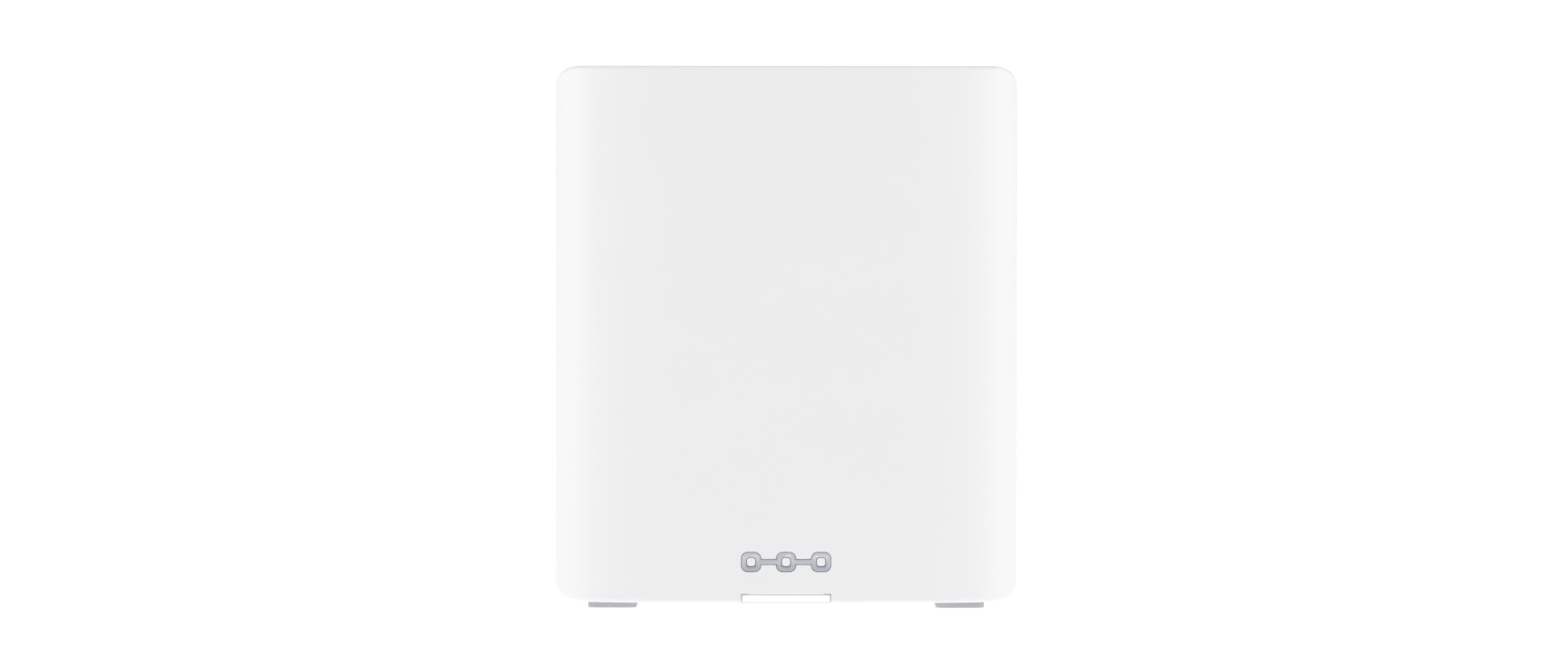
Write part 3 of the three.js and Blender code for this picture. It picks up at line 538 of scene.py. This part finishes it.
rearHousing = newPiece(
    "rearHousing", shellBand(0, body["wall"], body["seam"] + gap, None, body["seamRound"]), whiteAbs,
    stands=("rear_housing",))
lip = {"reach": 3 * mm, "wall": 1.2 * mm, "root": 1.2 * mm}
lipInner = body["wall"] + gap + lip["wall"]
rearSeam = body["seam"] + gap
combine(rearHousing, shellBand(
    body["wall"] + gap, lipInner, body["seam"] - lip["reach"], rearSeam + lip["reach"]), "UNION")
combine(rearHousing, shellBand(lip["root"], lipInner, rearSeam + gap, rearSeam + lip["reach"]), "UNION")
combine(rearHousing, planTool(base["inset"], -far, base["openingTop"]), "DIFFERENCE")
ventBottom = trayHigh.z + vents["margin"]
ventRows = int((body["top"] - vents["margin"] - ventBottom) / vents["pitch"] + 1e-6) + 1
for row in range(ventRows):
    for side in (-1, 1):
        centre = (side * (vents["length"] + vents["columnGap"]) / 2, ventBottom + row * vents["pitch"])
        combine(rearHousing, flaredCutter(
            vents["length"], vents["height"], vents["height"] / 2, centre,
            body["halfDepth"] - vents["deep"], vents["flare"]), "DIFFERENCE")
tray = {
    "corner": 5 * mm, "wall": 1.6 * mm, "panel": 2 * mm, "reach": 60 * mm, "holeFlare": 0.25 * mm,
    "holeCorner": 0.5 * mm, "roundSteps": 12}
trayWidth = trayHigh.x - trayLow.x
trayHeight = trayHigh.z - trayLow.z
trayMiddle = (trayHigh.z + trayLow.z) / 2
combine(rearHousing, flaredCutter(
    trayWidth + 2 * gap, trayHeight + 2 * gap, tray["corner"] + gap, (0, trayMiddle),
    trayLow.y - gap, vents["flare"]), "DIFFERENCE")
for housing in (frontHousing, rearHousing):
    shadeByAngle(housing)
    trueNormals(housing)
print("housings made:", len(frontHousing.data.polygons), len(rearHousing.data.polygons))

# Light window: a clear bar in a thin grey rim, flush with the housing, on the riser that feeds it; the
# rim's grey is painted shade for the dark gap line round the window

def windowBar(inset, front, back):
    # a bar whose lower front edge follows the housing's
    bm = boxTool(
        (inset - lightWindow["halfWidth"], frontLow.y + front, body["bottom"] + inset),
        (lightWindow["halfWidth"] - inset, frontLow.y + back, lightWindow["top"] - inset))
    lowFront = [
        edge for edge in bm.edges
        if all(v.co.y < frontLow.y + front + onFace and v.co.z < body["bottom"] + inset + onFace
               for v in edge.verts)]
    bmesh.ops.bevel(
        bm, geom=lowFront, offset=body["edgeRound"] - max(inset, front), segments=body["edgeSteps"],
        profile=0.5, affect="EDGES", material=-1)
    return bm


rim = lightWindow["rim"]
# the rim is grey ABS so that it draws a painted shade line round the lit window, on all four sides
windowRimPaintedShade = newPiece(
    "windowRimPaintedShade", softened(windowBar(0, 0, lightWindow["rimDepth"]), lightWindow["edge"], 2, 60), greyAbs)
combine(windowRimPaintedShade, boxTool(
    (rim - lightWindow["halfWidth"], -far, body["bottom"] + rim),
    (lightWindow["halfWidth"] - rim, far, lightWindow["top"] - rim)), "DIFFERENCE")
shadeByAngle(windowRimPaintedShade)
windowPiece = newPiece(
    "lightWindow", windowBar(rim + lightWindow["play"], lightWindow["sunk"], lightWindow["depth"]),
    lightGuide, stands=("light_window",))
riserFront = frontLow.y + body["wall"] + gap
combine(windowPiece, boxTool(
    (-lightWindow["riserHalf"], riserFront, lightWindow["top"] - mm),
    (lightWindow["riserHalf"], riserFront + lightWindow["riserThickness"], windowHigh.z)), "UNION")
shadeByAngle(windowPiece)

# Emblem: three rounded squares joined by bars, let into a pocket of the same outline

emblemLow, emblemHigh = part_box("emblem")
emblem = {
    "square": 6.4 * mm, "corner": 2 * mm, "stroke": 1.5 * mm, "pitch": 12.05 * mm, "edge": 0.18 * mm,
    "steps": 8}
emblemMiddle = (emblemLow.z + emblemHigh.z) / 2


def emblemPiece(piece, grow, front, back):
    # joins the squares to the bar that piece starts as, and opens them
    outer = emblem["square"] + 2 * grow
    inner = emblem["square"] - 2 * emblem["stroke"] - 2 * grow
    steps = emblem["steps"]
    centres = [(place * emblem["pitch"], emblemMiddle) for place in (-1, 0, 1)]
    for centre in centres:
        square = prism(outer, outer, emblem["corner"] + grow, front, back, centre, steps)
        combine(piece, square, "UNION")
    for centre in centres:
        hole = prism(inner, inner, (emblem["corner"] - grow) / 2, front - mm, back + mm, centre, steps)
        combine(piece, hole, "DIFFERENCE")


def emblemBar(grow, front, back):
    half = emblem["stroke"] / 2 + grow
    return boxTool(
        (-emblem["pitch"], front, emblemMiddle - half), (emblem["pitch"], back, emblemMiddle + half))


emblemObject = newPiece(
    "emblem_mark", emblemBar(0, emblemLow.y, emblemHigh.y), satinSilverPaintedReflection, stands=("emblem",))
emblemPiece(emblemObject, 0, emblemLow.y, emblemHigh.y)
softBm = bmesh.new()
softBm.from_mesh(emblemObject.data)
bmesh.ops.dissolve_limit(softBm, angle_limit=math.radians(1), verts=softBm.verts, edges=softBm.edges)
frontEdges = [
    edge for edge in softBm.edges
    if all(v.co.y < emblemLow.y + onFace for v in edge.verts) and edge.calc_face_angle(0) > 1]
bmesh.ops.bevel(
    softBm, geom=frontEdges, offset=emblem["edge"], segments=3, profile=0.5, affect="EDGES", material=-1,
    clamp_overlap=True)
softBm.to_mesh(emblemObject.data)
softBm.free()
shadeByAngle(emblemObject)
pocket = newPiece("pocketTool", emblemBar(gap, -far, emblemHigh.y + gap), whiteAbs)
emblemPiece(pocket, gap, -far, emblemHigh.y + gap)
pocketBm = bmesh.new()
pocketBm.from_mesh(pocket.data)
bpy.data.objects.remove(pocket)
combine(frontHousing, pocketBm, "DIFFERENCE")
for housing in (frontHousing, rearHousing):
    shadeByAngle(housing)
    trueNormals(housing)

# Feet: rubber pads with a chamfer round the bottom

foot = {"chamfer": 0.5 * mm, "corner": 3 * mm, "steps": 8}
for name, node in (("footLeft", "foot_left"), ("footRight", "foot_right")):
    low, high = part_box(node)
    middle = (low + high) / 2
    bm = prism(high.x - low.x, high.y - low.y, foot["corner"], 0, high.z - low.z, steps=foot["steps"])
    bmesh.ops.rotate(bm, verts=bm.verts, matrix=Matrix.Rotation(-math.pi / 2, 3, "X"))
    lowest = min(vert.co.z for vert in bm.verts)
    bmesh.ops.translate(bm, verts=bm.verts, vec=(middle.x, middle.y, low.z - lowest))
    bottom = [edge for edge in bm.edges if all(v.co.z < low.z + onFace for v in edge.verts)]
    bmesh.ops.bevel(
        bm, geom=bottom, offset=foot["chamfer"], segments=3, profile=0.6, affect="EDGES", material=-1)
    piece = newPiece(name, bm, greyRubber, stands=(node,))
    shadeByAngle(piece)
print("window, emblem and feet made")

# Port bay: a tray behind the round-cornered opening, with a soft-edged cut-out for each socket

panelFace = trayLow.y + tray["panel"]
trayPiece = newPiece(
    "portTray", prism(trayWidth, trayHeight, tray["corner"], trayLow.y, tray["reach"], (0, trayMiddle)),
    greyAbs, stands=("port_panel",))
wholeBody = bmesh.new()
addSkin(wholeBody, 0)
combine(trayPiece, wholeBody, "INTERSECT")
combine(trayPiece, flaredCutter(
    trayWidth - 2 * tray["wall"], trayHeight - 2 * tray["wall"], tray["corner"] - tray["wall"],
    (0, trayMiddle), panelFace, vents["flare"]), "DIFFERENCE")


def cutPanel(centre, width, height, corner, steps=4):
    # a hole in the panel, a gap wider than the socket that it frames
    combine(trayPiece, flaredCutter(
        width + 2 * gap, height + 2 * gap, corner, centre, trayLow.y - mm, tray["holeFlare"],
        lambda x: panelFace, steps), "DIFFERENCE")


def middleOf(node):
    low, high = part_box(node)
    return (low + high) / 2


for node in ("wan_jack", "lan_jack_1", "lan_jack_2", "power_switch_case", "usb_shell"):
    low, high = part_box(node)
    middle = middleOf(node)
    cutPanel((middle.x, middle.z), high.x - low.x, high.z - low.z, tray["holeCorner"])
inlet = {
    "outer": 9.4 * mm, "hole": 6.4 * mm, "pin": 2.1 * mm, "holeDepth": 12.4 * mm, "lip": 0.5 * mm,
    "edge": 0.15 * mm, "pinEdge": 0.6 * mm}
inletMiddle = middleOf("inlet_body")
cutPanel(
    (inletMiddle.x, inletMiddle.z), inlet["outer"], inlet["outer"], inlet["outer"] / 2 + gap,
    tray["roundSteps"])
buttons = {
    "setup_button": {"cap": 7 * mm, "flange": 1.5 * mm, "stem": 1.5 * mm, "edge": 0.4 * mm},
    "reset_button": {"cap": 2.4 * mm, "flange": 1.2 * mm, "stem": 1 * mm, "edge": 0.4 * mm}}
for node, sizes in buttons.items():
    middle = middleOf(node)
    cap = sizes["cap"]
    cutPanel((middle.x, middle.z), cap, cap, cap / 2 + gap, tray["roundSteps"])
shadeByAngle(trayPiece)

softEdges = {
    "jack": 0.2 * mm, "case": 0.25 * mm, "rocker": 0.5 * mm, "tongue": 0.15 * mm, "contacts": 0.05 * mm}
for node in ("wan_jack", "lan_jack_1", "lan_jack_2"):
    refined(node.replace("_", "") + "Shell", node, softEdges["jack"])
refined("powerSwitchCase", "power_switch_case", softEdges["case"])
refined("powerRocker", "power_rocker", softEdges["rocker"], "power_rocker")
refined("usbTongue", "usb_tongue", softEdges["tongue"])
for node in ("wan_contacts", "lan_contacts_1", "lan_contacts_2"):
    refined(node.replace("_", "") + "Comb", node, softEdges["contacts"])

usbLow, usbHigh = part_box("usb_shell")
usb = {"wall": 0.5 * mm, "corner": 0.9 * mm}
usbMiddle = middleOf("usb_shell")
usbSize = usbHigh - usbLow
usbCentre = (usbMiddle.x, usbMiddle.z)
usbShell = newPiece(
    "usbShell", prism(usbSize.x, usbSize.z, usb["corner"], usbLow.y, usbHigh.y, usbCentre), nickel,
    stands=("usb_shell",))
combine(usbShell, prism(
    usbSize.x - 2 * usb["wall"], usbSize.z - 2 * usb["wall"], usb["corner"] - usb["wall"],
    usbLow.y - mm, usbHigh.y + mm, usbCentre), "DIFFERENCE")
shadeByAngle(usbShell)

inletLow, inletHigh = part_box("inlet_body")
mouth = inletHigh.y
outer = inlet["outer"] / 2
bore = inlet["hole"] / 2
pinRoom = inlet["pin"] / 2 + gap
boreEnd = panelFace - inlet["holeDepth"]
inletPiece = newPiece("inletBody", spun((
    (pinRoom, inletLow.y), (outer, inletLow.y), (outer, mouth - inlet["lip"]),
    (outer - inlet["edge"], mouth - inlet["edge"]), (outer - inlet["lip"], mouth),
    (bore + inlet["lip"], mouth),
    (bore + inlet["edge"], mouth - inlet["edge"]), (bore, mouth - inlet["lip"]), (bore, boreEnd),
    (pinRoom, boreEnd)), (inletMiddle.x, 0, inletMiddle.z)), blackPbt,
    stands=("inlet_body",))
shadeByAngle(inletPiece)
pinLow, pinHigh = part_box("inlet_pin")
pin = inlet["pin"] / 2
tip = inlet["pinEdge"]
pinPiece = newPiece("inletPin", spun((
    (0, pinLow.y), (pin, pinLow.y), (pin, pinHigh.y - tip), (pin - 0.3 * tip, pinHigh.y - 0.3 * tip),
    (pin - tip, pinHigh.y), (0, pinHigh.y)), (inletMiddle.x, 0, inletMiddle.z)),
    nickel, stands=("inlet_pin",))
shadeByAngle(pinPiece)

for node, sizes in buttons.items():
    # a stem, a flange that catches behind the panel, and a cap with a soft edge and a slight dish
    low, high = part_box(node)
    middle = middleOf(node)
    flange = (high.x - low.x) / 2
    radius = sizes["cap"] / 2
    stem = sizes["stem"]
    back = trayLow.y - gap
    inner = back - sizes["flange"]
    edge = sizes["edge"]
    button = newPiece(node.replace("_button", "Button"), spun((
        (0, low.y), (stem, low.y), (stem, inner), (flange, inner), (flange, back), (radius, back),
        (radius, high.y - edge), (radius - 0.3 * edge, high.y - 0.3 * edge), (radius - edge, high.y),
        (radius * 0.6, high.y - 0.3 * edge), (0, high.y - 0.5 * edge)), (middle.x, 0, middle.z)), greyAbs,
        node, (node,))
    shadeByAngle(button)
print("port bay made")

# Camera, light and floor

view = {"place": (0, -4.0, 0.2), "aim": (-0.0008, 0, 0.0957), "lens": 264.5, "roll": 0.05}
camera = bpy.data.objects.new("camera", bpy.data.cameras.new("camera"))
camera.data.lens = view["lens"]
camera.data.sensor_width = 36
camera.location = view["place"]
facing = (Vector(view["aim"]) - camera.location).to_track_quat("-Z", "Y").to_matrix()
camera.rotation_euler = (facing @ Matrix.Rotation(math.radians(view["roll"]), 3, "Z")).to_euler()
bpy.context.scene.collection.objects.link(camera)
bpy.context.scene.camera = camera
bpy.context.scene.view_settings.view_transform = "Standard"

# a white room, a little dimmer behind the object than in front of it
studio = {"seen": 1.05, "front": 0.69, "behind": 0.58, "side": 8.0, "above": 5.0}
world = bpy.data.worlds.new("studio")
world.use_nodes = True
direction = addNode(world, "ShaderNodeTexCoord")
split = addNode(world, "ShaderNodeSeparateXYZ", {0: (direction, "Generated")})
room = addNode(world, "ShaderNodeMapRange", {
    "Value": (split, "Y"), "From Min": -1.0, "To Min": studio["front"], "To Max": studio["behind"]})
rays = addNode(world, "ShaderNodeLightPath")
strength = addNode(world, "ShaderNodeMix", {
    "Factor": (rays, "Is Camera Ray"), 2: (room, "Result"), 3: studio["seen"]}, data_type="FLOAT")
backdrop = world.node_tree.nodes["Background"]
backdrop.inputs["Color"].default_value = (1, 1, 1, 1)
joinTo(world, backdrop, {"Strength": (strength, 0)})
bpy.context.scene.world = world

floorMesh = bpy.data.meshes.new("floor")
floorBm = bmesh.new()
bmesh.ops.create_grid(floorBm, x_segments=1, y_segments=1, size=6)
floorBm.to_mesh(floorMesh)
floorBm.free()
floor = bpy.data.objects.new("floor", floorMesh)
bpy.context.scene.collection.objects.link(floor)
# lit opal acrylic sheet: it glows evenly, so the object casts next to no shadow
floorMesh.materials.append(newMaterial("lit opal acrylic sheet", {
    "Base Color": linear("#969696"), "Roughness": 0.8, "Emission Color": linear("#FEFEFF"),
    "Emission Strength": 0.93})[0])


def softBox(name, place, aim, width, height, power):
    light = bpy.data.lights.new(name, "AREA")
    light.shape = "RECTANGLE"
    light.size = width
    light.size_y = height
    light.energy = power
    lamp = bpy.data.objects.new(name, light)
    lamp.location = place
    lamp.rotation_euler = (Vector(aim) - Vector(place)).to_track_quat("-Z", "Y").to_euler()
    bpy.context.scene.collection.objects.link(lamp)


middle = (0, 0, 0.1)
softBox("leftBox", (-1.57, -0.32, 0.35), middle, 0.9, 1.4, studio["side"])
softBox("rightBox", (1.57, -0.32, 0.35), middle, 0.9, 1.4, studio["side"])
softBox("topBox", (0, -0.1, 1.6), middle, 1.4, 1.4, studio["above"])
print("camera, lights and floor made")
